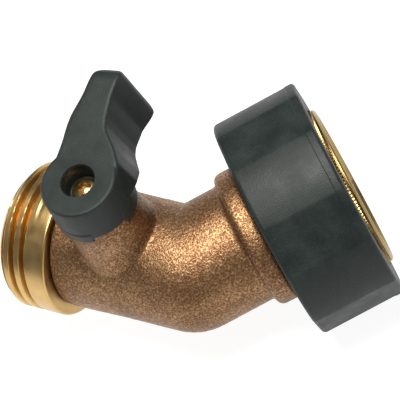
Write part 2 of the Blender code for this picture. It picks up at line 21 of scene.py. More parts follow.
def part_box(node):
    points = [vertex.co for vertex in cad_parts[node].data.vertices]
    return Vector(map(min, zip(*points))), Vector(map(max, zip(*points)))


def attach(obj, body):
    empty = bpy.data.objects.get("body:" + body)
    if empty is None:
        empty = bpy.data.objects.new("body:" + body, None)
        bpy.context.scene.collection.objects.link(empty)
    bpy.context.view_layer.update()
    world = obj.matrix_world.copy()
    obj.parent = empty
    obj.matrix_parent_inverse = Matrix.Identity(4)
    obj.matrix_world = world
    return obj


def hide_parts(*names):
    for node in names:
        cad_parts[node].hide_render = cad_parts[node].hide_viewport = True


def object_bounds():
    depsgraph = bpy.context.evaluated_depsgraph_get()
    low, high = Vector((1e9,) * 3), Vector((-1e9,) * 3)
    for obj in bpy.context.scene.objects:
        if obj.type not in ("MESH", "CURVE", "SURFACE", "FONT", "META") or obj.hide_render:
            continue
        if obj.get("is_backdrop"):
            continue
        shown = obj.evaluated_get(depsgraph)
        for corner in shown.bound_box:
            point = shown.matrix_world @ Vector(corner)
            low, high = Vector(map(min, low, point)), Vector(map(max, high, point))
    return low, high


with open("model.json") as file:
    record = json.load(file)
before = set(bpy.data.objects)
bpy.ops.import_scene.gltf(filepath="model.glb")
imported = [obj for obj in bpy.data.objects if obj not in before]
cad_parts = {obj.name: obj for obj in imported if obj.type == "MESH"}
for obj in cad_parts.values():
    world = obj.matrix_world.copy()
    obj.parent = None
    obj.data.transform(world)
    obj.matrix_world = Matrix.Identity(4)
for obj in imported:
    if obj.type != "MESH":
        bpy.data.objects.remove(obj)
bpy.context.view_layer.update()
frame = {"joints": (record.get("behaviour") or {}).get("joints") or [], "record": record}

LOG = logging.getLogger("hose_connector")

Corner = tuple[float, float, float]     # radius or x, height or y, rounding radius
Pair = tuple[float, float]
Colour = tuple[float, float, float]
MM = 0.001
PITCH = 25.4 * MM / 11.5                # garden hose thread, 11.5 turns to the inch
CRISP_EDGE = 32.0                       # degrees above which an edge isn't shaded smooth
FUSED_CRISP_EDGE = 60.0                 # the same, on skins that are fused from several shapes


class Slot(Enum):
    """Material slots of the record."""

    CAST = "cast_body"
    BRASS = "machined_brass"
    PLATED = "plated_ball"
    PLASTIC = "black_plastic"
    POLYMER = "white_polymer"
    RUBBER = "black_rubber"


class Body(Enum):
    """Bodies that the pieces move with."""

    FIXED = "body"
    LEVER = "valve_lever"
    NUT = "swivel_nut"


# Places, read from the frame


@dataclass(frozen=True)
class Layout:
    """Turning frames of the connector; each has its +Z along the axis its pieces turn about."""

    elbow: Vector
    inlet: Matrix
    outlet: Matrix
    valve: Matrix
    lever: Matrix

    @staticmethod
    def from_frame(lever_azimuth: float = 52.0) -> "Layout":
        """Work the frames out from the record's joints and mounts.

        Args:
            lever_azimuth: direction of the lever's arm, in degrees from +X towards +Y.

        Returns:
            The layout.
        """
        joints = {joint["name"]: joint for joint in frame["joints"]}
        mounts = {mount["name"]: mount for mount in frame["record"]["mounts"]}
        stem = Vector(joints["lever_turn"]["pos_m"])
        elbow = Vector((stem.x + stem.y, 0.0, 0.0))
        outlet = Vector(mounts["outlet_face"]["axis"])
        bearing = math.atan2(outlet.y, outlet.x)
        quarter = Matrix.Rotation(math.radians(90), 4, "Y")
        return Layout(
            elbow=elbow,
            inlet=Matrix.Translation(elbow) @ quarter,
            outlet=Matrix.Translation(elbow) @ Matrix.Rotation(bearing, 4, "Z") @ quarter,
            valve=Matrix.Translation(stem) @ Matrix.Rotation(bearing, 4, "Z"),
            lever=Matrix.Translation(stem) @ Matrix.Rotation(math.radians(lever_azimuth), 4, "Z"),
        )

    def inlet_span(self, node: str) -> Pair:
        """Distances from the elbow to a node's two ends along the inlet axis."""
        low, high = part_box(node)
        return low.x - self.elbow.x, high.x - self.elbow.x


# Mesh building


def rounded(corners: Sequence[Corner], closed: bool = True, steps: int = 6) -> list[Pair]:
    """Round an outline's corners with arcs.

    Args:
        corners: x, y and rounding radius of each corner, in order.
        closed: whether the last corner joins the first.
        steps: facets of one arc.

    Returns:
        The outline's points.
    """
    points: list[Pair] = []
    count = len(corners)
    for index, (x, y, radius) in enumerate(corners):
        here = Vector((x, y))
        at_end = not closed and index in (0, count - 1)
        if radius <= 0 or at_end:
            points.append((x, y))
            continue
        back = Vector(corners[index - 1][:2]) - here
        onward = Vector(corners[(index + 1) % count][:2]) - here
        angle = back.angle(onward)
        if angle > math.pi - 0.02:
            points.append((x, y))
            continue
        reach = min(radius / math.tan(angle / 2), back.length * 0.49, onward.length * 0.49)
        true_radius = reach * math.tan(angle / 2)
        centre = here + (back.normalized() + onward.normalized()).normalized() * (
            true_radius / math.sin(angle / 2))
        start = here + back.normalized() * reach - centre
        end = here + onward.normalized() * reach - centre
        turn = math.copysign(math.pi - angle, start.x * end.y - start.y * end.x)
        for step in range(steps + 1):
            part = turn * step / steps
            points.append((centre.x + start.x * math.cos(part) - start.y * math.sin(part),
                           centre.y + start.x * math.sin(part) + start.y * math.cos(part)))
    return points


def finish_mesh(name: str, shape: bmesh.types.BMesh, place: Matrix) -> bpy.types.Object:
    """Turn a bmesh into a smooth-shaded object.

    Args:
        name: the object's name.
        shape: the bmesh, which is freed.
        place: the object's matrix.

    Returns:
        The object.
    """
    bmesh.ops.remove_doubles(shape, verts=shape.verts, dist=1e-7)
    bmesh.ops.dissolve_degenerate(shape, edges=shape.edges, dist=1e-7)
    bmesh.ops.recalc_face_normals(shape, faces=shape.faces)
    mesh = bpy.data.meshes.new(name)
    shape.to_mesh(mesh)
    shape.free()
    mesh.shade_smooth()
    mesh.set_sharp_from_angle(angle=math.radians(CRISP_EDGE))
    piece = bpy.data.objects.new(name, mesh)
    bpy.context.scene.collection.objects.link(piece)
    piece.matrix_world = place
    return piece


def skin(name: str, rings: np.ndarray, place: Matrix, ends: str = "joined") -> bpy.types.Object:
    """Lay faces between rings of points.

    Args:
        name: the object's name.
        rings: array of ring, point, coordinate; each ring is a closed loop.
        place: the object's matrix.
        ends: "joined" where the last ring meets the first, "capped", or "open" at poles.

    Returns:
        The object.
    """
    ring_count, point_count = rings.shape[:2]
    shape = bmesh.new()
    corners = [[shape.verts.new(point) for point in ring] for ring in rings]
    last = ring_count if ends == "joined" else ring_count - 1
    for index in range(last):
        near, far = corners[index], corners[(index + 1) % ring_count]
        for point in range(point_count):
            after = (point + 1) % point_count
            shape.faces.new((near[point], near[after], far[after], far[point]))
    if ends == "capped":
        shape.faces.new(corners[0])
        shape.faces.new(list(reversed(corners[-1])))
    return finish_mesh(name, shape, place)


def turned(name: str, profile: Sequence[Pair], place: Matrix, steps: int = 160,
           radius_at: Callable[[np.ndarray, float, float], np.ndarray] | None = None,
           ) -> bpy.types.Object:
    """Turn a profile about the frame's Z axis.

    Args:
        name: the object's name.
        profile: (radius, height) points; closed unless it starts and ends on the axis.
        place: the turning frame.
        steps: facets of one turn.
        radius_at: optional rule for the radius, from the angles, the radius and the height.

    Returns:
        The object.
    """
    angles = np.linspace(0, math.tau, steps, endpoint=False)
    rings = np.zeros((len(profile), steps, 3))
    for index, (radius, height) in enumerate(profile):
        reach = np.full(steps, radius) if radius_at is None else radius_at(angles, radius, height)
        rings[index, :, 0] = reach * np.cos(angles)
        rings[index, :, 1] = reach * np.sin(angles)
        rings[index, :, 2] = height
    on_axis = profile[0][0] == 0 and profile[-1][0] == 0
    return skin(name, rings, place, "open" if on_axis else "joined")


def rod(name: str, radius: float, low: float, high: float, place: Matrix,
        steps: int = 96) -> bpy.types.Object:
    """A plain rod between two heights, used to cut or to join."""
    return turned(name, [(0, high), (radius, high), (radius, low), (0, low)], place, steps)


def block(name: str, size: Sequence[float], centre: Sequence[float],
          place: Matrix) -> bpy.types.Object:
    """A plain block, used to cut or to join."""
    shape = bmesh.new()
    bmesh.ops.create_cube(shape, size=1.0)
    bmesh.ops.scale(shape, verts=shape.verts, vec=size)
    bmesh.ops.translate(shape, verts=shape.verts, vec=centre)
    return finish_mesh(name, shape, place)


def half_circle(radius: float, points: int) -> list[Pair]:
    """Profile of a ball, from its top pole to its bottom pole."""
    arc = [(radius * math.sin(part), radius * math.cos(part))
           for part in np.linspace(0, math.pi, points)]
    return [(0, radius), *arc[1:-1], (0, -radius)]


def discard(pieces: Sequence[bpy.types.Object]) -> None:
    """Remove helper objects."""
    for piece in pieces:
        bpy.data.objects.remove(piece, do_unlink=True)


def keep_evaluated(piece: bpy.types.Object, sharp: float) -> None:
    """Replace a piece's mesh with its modifiers' result, crisp above an angle in degrees."""
    graph = bpy.context.evaluated_depsgraph_get()
    mesh = bpy.data.meshes.new_from_object(piece.evaluated_get(graph))
    piece.modifiers.clear()
    piece.data = mesh
    mesh.shade_smooth()
    mesh.set_sharp_from_angle(angle=math.radians(sharp))


def melt(name: str, parts: Sequence[bpy.types.Object], place: Matrix, voxel: float,
         passes: int) -> bpy.types.Object:
    """Fuse overlapping closed shapes into one skin and soften its corners.

    Args:
        name: the new object's name.
        parts: the shapes, which are used up.
        place: the new object's matrix.
        voxel: edge length of the fused skin.
        passes: rounds of smoothing, which set the size of the fillets.

    Returns:
        The object.
    """
    shape = bmesh.new()
    for part in parts:
        mesh = part.data.copy()
        mesh.transform(place.inverted() @ part.matrix_world)
        shape.from_mesh(mesh)
    discard(parts)
    piece = finish_mesh(name, shape, place)
    remesh = piece.modifiers.new("fuse", "REMESH")
    remesh.mode = "VOXEL"
    remesh.voxel_size = voxel
    soften = piece.modifiers.new("soften", "SMOOTH")
    soften.factor = 0.5
    soften.iterations = passes
    keep_evaluated(piece, FUSED_CRISP_EDGE)
    return piece


def cut(piece: bpy.types.Object, cutters: Sequence[bpy.types.Object],
        operation: str = "DIFFERENCE") -> None:
    """Cut shapes out of a piece, or join them to it, and use them up."""
    for cutter in cutters:
        modifier = piece.modifiers.new("shape", "BOOLEAN")
        modifier.operation = operation
        modifier.solver = "MANIFOLD"
        modifier.object = cutter
    bpy.context.view_layer.update()
    keep_evaluated(piece, CRISP_EDGE)
    discard(cutters)


def smooth_step(value: np.ndarray) -> np.ndarray:
    """Ease from 0 to 1 as the value goes from 0 to 1."""
    share = np.clip(value, 0, 1)
    return share * share * (3 - 2 * share)


def eased(stations: np.ndarray, places: Sequence[float], values: Sequence[float],
          width: int) -> np.ndarray:
    """Read a smooth curve through a few values.

    Args:
        stations: where the curve is read, evenly spaced.
        places: where the values stand.
        values: the values.
        width: how many stations the rounding of each corner takes.

    Returns:
        The curve's values at the stations.
    """
    curve = np.interp(stations, places, values)
    window = np.hanning(width + 2)[1:-1]
    padded = np.pad(curve, width // 2, mode="reflect", reflect_type="odd")
    return np.convolve(padded, window / window.sum(), mode="valid")[: len(stations)]


# Shader building


class Signal:
    """A node's output that can be used in Python expressions."""

    def __init__(self, bench: "Bench", socket: bpy.types.NodeSocket) -> None:
        """Wrap a socket of the bench's tree."""
        self.bench = bench
        self.socket = socket

    def _maths(self, operation: str, first: Any, second: Any) -> "Signal":
        """Add a Math node."""
        return self.bench.node("ShaderNodeMath", {"operation": operation}, {0: first, 1: second})

    def __add__(self, other: Any) -> "Signal":
        """Sum."""
        return self._maths("ADD", self, other)

    __radd__ = __add__

    def __mul__(self, other: Any) -> "Signal":
        """Product."""
        return self._maths("MULTIPLY", self, other)

    __rmul__ = __mul__


class Bench:
    """A material under construction."""

    def __init__(self, name: str, **constants: Any) -> None:
        """Start a material whose shader has the given constant values."""
        self.material = bpy.data.materials.new(name)
        self.material.use_nodes = True
        self.tree = self.material.node_tree
        self.shader = self.tree.nodes["Principled BSDF"]
        for socket, value in constants.items():
            self.shader.inputs[socket.replace("_", " ")].default_value = value

    def node(self, kind: str, settings: dict[str, Any] | None = None,
             inputs: dict[str | int, Any] | None = None, output: str | int = 0) -> Signal:
        """Add a node.

        Args:
            kind: the node's type.
            settings: its settings, which are made first; "stops" fills a colour ramp.
            inputs: values or signals of its sockets.
            output: the socket to return.

        Returns:
            The chosen output.
        """
        made = self.tree.nodes.new(kind)
        for key, value in (settings or {}).items():
            if key == "stops":
                ramp = made.color_ramp.elements
                while len(ramp) < len(value):
                    ramp.new(0.5)
                for element, (position, colour) in zip(ramp, value):
                    element.position = position
                    element.color = (*colour, 1.0)
            else:
                setattr(made, key, value)
        for key, value in (inputs or {}).items():
            self.feed(made.inputs[key], value)
        return Signal(self, made.outputs[output])

    def feed(self, socket: bpy.types.NodeSocket, value: Any) -> None:
        """Link a signal to a socket, or set its value."""
        if isinstance(value, Signal):
            self.tree.links.new(value.socket, socket)
        elif isinstance(value, tuple) and len(value) == 3 and socket.type == "RGBA":
            socket.default_value = (*value, 1.0)
        else:
            socket.default_value = value

    def place(self, turning: Matrix | None = None) -> Signal:
        """The piece's own coordinates, or those of the frame that it is turned in."""
        place = self.node("ShaderNodeTexCoord", output="Object")
        if turning is None:
            return place
        return self.node("ShaderNodeMapping", {"vector_type": "TEXTURE"},
                         {"Vector": place, "Location": tuple(turning.translation),
                          "Rotation": tuple(turning.to_euler())})

    def grain(self, place: Signal, size: float, detail: float = 2.0,
              rough: float = 0.5) -> Signal:
        """Noise from 0 to 1 whose features have the given size in metres."""
        return self.node("ShaderNodeTexNoise", {"noise_dimensions": "3D"},
                         {"Vector": place, "Scale": 1 / size, "Detail": detail,
                          "Roughness": rough})

    def cells(self, place: Signal, size: float) -> Signal:
        """Distance to the nearest of scattered points, about 0 to 1."""
        return self.node("ShaderNodeTexVoronoi", {"feature": "F1"},
                         {"Vector": place, "Scale": 1 / size})

    def ramp(self, value: Signal, stops: Sequence[tuple[float, Colour]]) -> Signal:
        """Colour ramp."""
        return self.node("ShaderNodeValToRGB", {"stops": stops}, {"Fac": value}, "Color")

    def spread(self, value: Signal, low: float, high: float, to_low: float,
               to_high: float) -> Signal:
        """Map a range of values to another one, clamped."""
        return self.node("ShaderNodeMapRange", {"clamp": True},
                         {"Value": value, "From Min": low, "From Max": high,
                          "To Min": to_low, "To Max": to_high})

    def mix(self, share: Any, first: Any, second: Any) -> Signal:
        """Mix two colours."""
        return self.node("ShaderNodeMix", {"data_type": "RGBA"},
                         {0: share, 6: first, 7: second}, 2)

    def stretch(self, place: Signal, scale: Sequence[float]) -> Signal:
        """Scale coordinates by a number for each axis."""
        return self.node("ShaderNodeVectorMath", {"operation": "MULTIPLY"},
                         {0: place, 1: tuple(scale)})

    def round_place(self, place: Signal) -> Signal:
        """Coordinates that stay the same all round the Z axis: distance from it, and height."""
        flat = self.stretch(place, (1, 1, 0))
        reach = self.node("ShaderNodeVectorMath", {"operation": "LENGTH"}, {0: flat}, "Value")
        height = self.node("ShaderNodeSeparateXYZ", None, {0: place}, "Z")
        return self.node("ShaderNodeCombineXYZ", None, {"X": reach, "Z": height})

    def bump(self, height: Signal, depth: float, strength: float,
             under: Signal | None = None) -> Signal:
        """Bump whose height signal of 1 stands for the given depth in metres."""
        inputs: dict[str | int, Any] = {"Height": height, "Distance": depth, "Strength": strength}
        if under is not None:
            inputs["Normal"] = under
        return self.node("ShaderNodeBump", None, inputs)

    def dress(self, **sockets: Any) -> bpy.types.Material:
        """Feed the shader's sockets and return the material."""
        for socket, value in sockets.items():
            self.feed(self.shader.inputs[socket.replace("_", " ")], value)
        return self.material


@dataclass(frozen=True)
class CastBronze:
    """Sand-cast skin: coarse sparkling grain, darker pits, warm pink-brown metal."""

    dark: Colour = (0.085, 0.036, 0.017)
    middle: Colour = (0.190, 0.096, 0.044)
    light: Colour = (0.50, 0.310, 0.155)
    grain_size: float = 0.27 * MM
    swell_size: float = 1.6 * MM

    def make(self) -> bpy.types.Material:
        """Build the material."""
        bench = Bench("cast_bronze", Metallic=0.86)
        place = bench.place()
        grain = bench.grain(place, self.grain_size, 3.0, 0.6)
        pits = bench.cells(place, self.grain_size * 1.5)
        swell = bench.grain(place, self.swell_size, 2.0)
        stain = bench.grain(place, 6 * MM, 3.0)
        tone = grain * 0.65 + pits * 0.25 + stain * 0.25
        colour = bench.ramp(tone, [(0.38, self.dark), (0.56, self.middle), (0.78, self.light)])
        rough = bench.spread(grain, 0.3, 0.7, 0.62, 0.36)
        coarse = bench.bump(swell, 0.10 * MM, 0.5)
        skin_bump = bench.bump(grain + pits * 0.6, 0.10 * MM, 0.75, coarse)
        return bench.dress(Base_Color=colour, Roughness=rough, Normal=skin_bump)


@dataclass(frozen=True)
class TurnedBrass:
    """Bright brass with fine lathe lines round its axis and a light handling haze."""

    name: str
    turning: Matrix
    dark: Colour = (0.34, 0.205, 0.070)
    light: Colour = (0.76, 0.525, 0.220)
    line: float = 0.07 * MM
    roughness: Pair = (0.26, 0.40)

    def make(self) -> bpy.types.Material:
        """Build the material."""
        bench = Bench(self.name, Metallic=1.0)
        place = bench.place(self.turning)
        lines = bench.grain(bench.round_place(place), self.line, 2.0, 0.6)
        haze = bench.grain(place, 3.5 * MM, 4.0, 0.6)
        specks = bench.grain(place, 0.5 * MM, 2.0)
        colour = bench.mix(haze * 0.7 + lines * 0.3, self.dark, self.light)
        rough = bench.spread(lines * 0.4 + haze * 0.6, 0.3, 0.7, *self.roughness)
        scored = bench.bump(lines, 0.012 * MM, 0.55)
        worn = bench.bump(specks, 0.02 * MM, 0.18, scored)
        return bench.dress(Base_Color=colour, Roughness=rough, Normal=worn)


@dataclass(frozen=True)
class MouldedPlastic:
    """Black nylon with a fine spark-eroded mould texture and paler rubbed spots."""

    name: str = "moulded_plastic"
    base: Colour = (0.0085, 0.0125, 0.0115)
    rubbed: Colour = (0.018, 0.026, 0.024)
    grain_size: float = 0.22 * MM
    roughness: Pair = (0.42, 0.58)

    def make(self) -> bpy.types.Material:
        """Build the material."""
        bench = Bench(self.name, Specular_IOR_Level=0.25)
        place = bench.place()
        grain = bench.grain(place, self.grain_size, 2.0, 0.55)
        cloud = bench.grain(place, 5 * MM, 3.0, 0.6)
        colour = bench.mix(bench.spread(grain * 0.5 + cloud * 0.5, 0.42, 0.66, 0.0, 1.0),
                           self.base, self.rubbed)
        rough = bench.spread(cloud, 0.3, 0.7, *self.roughness)
        fine = bench.bump(grain, 0.06 * MM, 0.55)
        flow = bench.bump(cloud, 0.15 * MM, 0.25, fine)
        return bench.dress(Base_Color=colour, Roughness=rough, Normal=flow)


@dataclass(frozen=True)
class SoftSeal:
    """Rubber or polymer of a seal, with a dull bloom and faint moulding grain."""

    name: str
    base: Colour
    bloom: Colour
    roughness: Pair

    def make(self) -> bpy.types.Material:
        """Build the material."""
        bench = Bench(self.name)
        place = bench.place()
        cloud = bench.grain(place, 2.5 * MM, 4.0, 0.6)
        grain = bench.grain(place, 0.12 * MM, 2.0)
        colour = bench.mix(bench.spread(cloud, 0.35, 0.7, 0.0, 1.0), self.base, self.bloom)
        rough = bench.spread(cloud, 0.3, 0.7, *self.roughness)
        return bench.dress(Base_Color=colour, Roughness=rough,
                           Normal=bench.bump(grain, 0.03 * MM, 0.4))


@dataclass(frozen=True)
class BrightPlate:
    """Polished plating with hair-fine scratches."""

    name: str = "bright_plate"
    base: Colour = (0.78, 0.79, 0.80)

    def make(self) -> bpy.types.Material:
        """Build the material."""
        bench = Bench(self.name, Metallic=1.0)
        place = bench.place()
        scratches = bench.grain(bench.stretch(place, (1, 0.08, 1)), 0.15 * MM, 3.0)
        haze = bench.grain(place, 3 * MM, 3.0)
        rough = bench.spread(haze * 0.5 + scratches * 0.5, 0.3, 0.7, 0.05, 0.16)
        tint = bench.mix(haze, self.base, (0.70, 0.71, 0.73))
        return bench.dress(Base_Color=tint, Roughness=rough,
                           Normal=bench.bump(scratches, 0.01 * MM, 0.3))


# Sub-assemblies


def settle(piece: bpy.types.Object, node: str, body: Body,
           material: bpy.types.Material) -> None:
    """Dress a piece, let it stand for its CAD node and ride on its body.

    Args:
        piece: the piece, in place.
        node: the CAD node that it replaces.
        body: the body that it moves with.
        material: its finish.
    """
    piece.data.transform(piece.matrix_world)
    piece.matrix_world = Matrix.Identity(4)
    piece.data.materials.clear()
    piece.data.materials.append(material)
    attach(piece, body.value)
    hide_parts(node)
    LOG.info("%s: %d faces, rides on %s", piece.name, len(piece.data.polygons), body.value)


@dataclass
class CastElbow:
    """The sand-cast body: two legs, a tight bend, an inlet collar and the valve boss."""

    layout: Layout
    material: bpy.types.Material
    tube_radius: float = 11.2 * MM
    waterway_radius: float = 7.0 * MM
    collar_start: float = 10.5 * MM
    inlet_leg: float = 14.6 * MM
    outlet_leg: float = 22.9 * MM
    collar_shoulder: float = 1.3 * MM
    boss_base: float = 7.5 * MM
    boss_crown: float = 6.6 * MM
    oval_start: float = 9.0 * MM
    oval_rise: float = 1.6 * MM
    oval_length: float = 12 * MM
    lug_bearing: float = 103.0
    skin_step: float = 0.27 * MM
    skin_relief: float = 0.035 * MM
    grain: float = 0.9 * MM

    def outer_shapes(self) -> list[bpy.types.Object]:
        """The overlapping solids that the casting's outside is fused from."""
        low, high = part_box("body_casting")
        inlet, outlet, valve = self.layout.inlet, self.layout.outlet, self.layout.valve
        collar_radius = -low.z
        shoulder = self.collar_shoulder
        collar = rounded([
            (0, self.inlet_leg, 0),
            (collar_radius, self.inlet_leg, shoulder * 0.6),
            (collar_radius, self.collar_start, shoulder),
            (0, self.collar_start, 0),
        ], closed=False)
        boss = rounded([
            (0, high.z, 0),
            (self.boss_crown, high.z, 0.3 * MM),
            (self.boss_base, 11.5 * MM, 2 * MM),
            (self.boss_base + 0.8 * MM, 6 * MM, 0),
            (0, 6 * MM, 0),
        ], closed=False)
        lug_turn = Matrix.Rotation(math.radians(self.lug_bearing), 4, "Z")
        lug_place = Matrix.Translation(valve.translation) @ lug_turn
        return [
            rod("inlet_leg", self.tube_radius, 0, self.collar_start + 1 * MM, inlet),
            self.outlet_tube(),
            turned("bend", half_circle(self.tube_radius, 49), outlet, 96),
            turned("collar", collar, inlet, 120),
            turned("boss", boss, valve, 120),
            block("stop_lug", (3.0 * MM, 1.5 * MM, 5.4 * MM), (6.1 * MM, 0, 17.7 * MM), lug_place),
        ]

    def outlet_tube(self) -> bpy.types.Object:
        """Outlet leg, round at the bend and deeper along the stem's axis towards its end."""
        rises = np.linspace(0, self.outlet_leg, 40)
        profile = [(self.tube_radius, float(height)) for height in rises[::-1]]

        def radius_at(angles: np.ndarray, radius: float, height: float) -> np.ndarray:
            """Oval reach of the leg at one height."""
            if radius == 0:
                return np.zeros(len(angles))
            growth = float(smooth_step(np.array((height - self.oval_start) / self.oval_length)))
            deep = radius + growth * self.oval_rise
            return 1 / np.hypot(np.cos(angles) / deep, np.sin(angles) / radius)

        rings = [(0.0, self.outlet_leg), *profile, (0.0, 0.0)]
        return turned("outlet_leg", rings, self.layout.outlet, 120, radius_at)

    def bores(self) -> list[bpy.types.Object]:
        """Waterway, ball chamber, sockets and stem bore."""
        inlet, outlet, valve = self.layout.inlet, self.layout.outlet, self.layout.valve
        over = 1 * MM
        radius = self.waterway_radius
        tail_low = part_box("swivel_tailpiece")[0].x - self.layout.elbow.x - 0.3 * MM
        return [
            rod("inlet_way", radius, 0, self.inlet_leg + over, inlet),
            turned("corner_way", half_circle(radius, 33), outlet, 72),
            rod("outlet_way", radius, 0, 5.7 * MM, outlet),
            rod("tail_socket", 9.9 * MM, tail_low, self.inlet_leg + 2 * over, inlet),
            rod("ball_chamber", 8.5 * MM, 4.7 * MM, 20 * MM, outlet),
            rod("nipple_socket", 9.5 * MM, 19 * MM, self.outlet_leg + 2 * over, outlet),
            rod("stem_bore", 3.2 * MM, 6 * MM, 22 * MM, valve, 64),
            rod("gland", 4.5 * MM, 6 * MM, 10.9 * MM, valve, 64),
        ]

    def roughen(self, piece: bpy.types.Object) -> None:
        """Push the skin in and out by the grain of the sand mould."""
        count = len(piece.data.vertices)
        points, normals = np.zeros(count * 3), np.zeros(count * 3)
        piece.data.vertices.foreach_get("co", points)
        piece.data.vertices.foreach_get("normal", normals)
        points, normals = points.reshape(-1, 3), normals.reshape(-1, 3)
        swell = np.array([noise.noise(Vector(point)) + 0.5 * noise.noise(Vector(point) * 2.3)
                          for point in points / self.grain])
        points += normals * (self.skin_relief * (swell - 0.7))[:, None]
        piece.data.vertices.foreach_set("co", points.ravel())
        piece.data.update()

    def build(self) -> None:
        """Build and place the casting."""
        piece = melt("cast_elbow", self.outer_shapes(), self.layout.outlet, self.skin_step, 9)
        self.roughen(piece)
        cut(piece, self.bores())
        settle(piece, "body_casting", Body.FIXED, self.material)


@dataclass
class HoseThread:
    """Helical garden hose thread on a turned wall.

    The ridge is cut as a groove that follows the helix and fades out at its inner end.  Groove,
    flank and flank_reach are shares of the pitch; first_winding and fade are radians of turn.
    """

    crest: float
    root: float
    start: float
    end: float
    phase: float = 0.0
    groove: float = 0.30
    flank: float = 0.30
    flank_reach: float = 0.17
    first_winding: float = 2.0
    fade: float = 1.3

    def radius(self, angles: np.ndarray, height: float) -> np.ndarray:
        """Radius of the wall.

        Args:
            angles: angles round the axis.
            height: distance along the axis.

        Returns:
            One radius for each angle.
        """
        turns = (height - self.start) / PITCH - (angles + self.phase) / math.tau
        offset = turns - np.round(turns)
        winding = math.tau * np.round(turns) + angles + self.phase
        depth = smooth_step((self.groove / 2 + self.flank_reach - np.abs(offset)) / self.flank)
        depth = depth * smooth_step((winding - self.first_winding) / self.fade)
        if not self.start <= height <= self.end:
            depth = depth * 0
        return self.crest + (self.root - self.crest) * depth

    def heights(self, step: float = 0.055 * MM) -> np.ndarray:
        """Heights at which the thread's rings stand."""
        return np.arange(self.start, self.end, step)


@dataclass
class OutletNipple:
    """Machined outlet: a tail fixed in the body, a land, the male thread and the nose."""

    layout: Layout
    material: bpy.types.Material
    tail_radius: float = 9.2 * MM
    tail_start: float = 19.3 * MM
    land_start: float = 23.2 * MM
    thread_start: float = 25.2 * MM
    end: float = 33.7 * MM
    nose_radius: float = 11.4 * MM
    root_radius: float = 12.1 * MM
    bore_radius: float = 8.8 * MM
    throat_radius: float = 6.6 * MM
    phase: float = -0.85

    def build(self) -> None:
        """Build and place the nipple."""
        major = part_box("outlet_nipple")[1].z
        thread = HoseThread(major, self.root_radius, self.thread_start, self.end - 0.9 * MM,
                            self.phase)
        back = rounded([
            (self.nose_radius + 0.9 * MM, self.end - 0.7 * MM, 0.0),
            (self.nose_radius + 0.1 * MM, self.end, 0.35 * MM),
            (self.bore_radius, self.end, 0.4 * MM),
            (self.bore_radius, self.land_start + 1.6 * MM, 0.3 * MM),
            (self.throat_radius, self.land_start + 0.4 * MM, 0.3 * MM),
            (self.throat_radius, self.tail_start, 0.3 * MM),
            (self.tail_radius, self.tail_start, 0.5 * MM),
            (self.tail_radius, self.land_start, 0.0),
            (major, self.land_start, 0.45 * MM),
            (major, self.land_start + 1.0 * MM, 0.0),
        ], closed=False)
        wall = [(major, height) for height in thread.heights()]
        nose = self.end - 1.9 * MM

        def radius_at(angles: np.ndarray, radius: float, height: float) -> np.ndarray:
            """Follow the thread on the outer wall and thin it towards the nose."""
            if radius < major - 1e-6:
                return np.full(len(angles), radius)
            limit = major - max(0.0, height - nose)
            return np.minimum(thread.radius(angles, height), limit)

        piece = turned("outlet_end", wall + back, self.layout.outlet, 220, radius_at)
        settle(piece, "outlet_nipple", Body.FIXED, self.material)


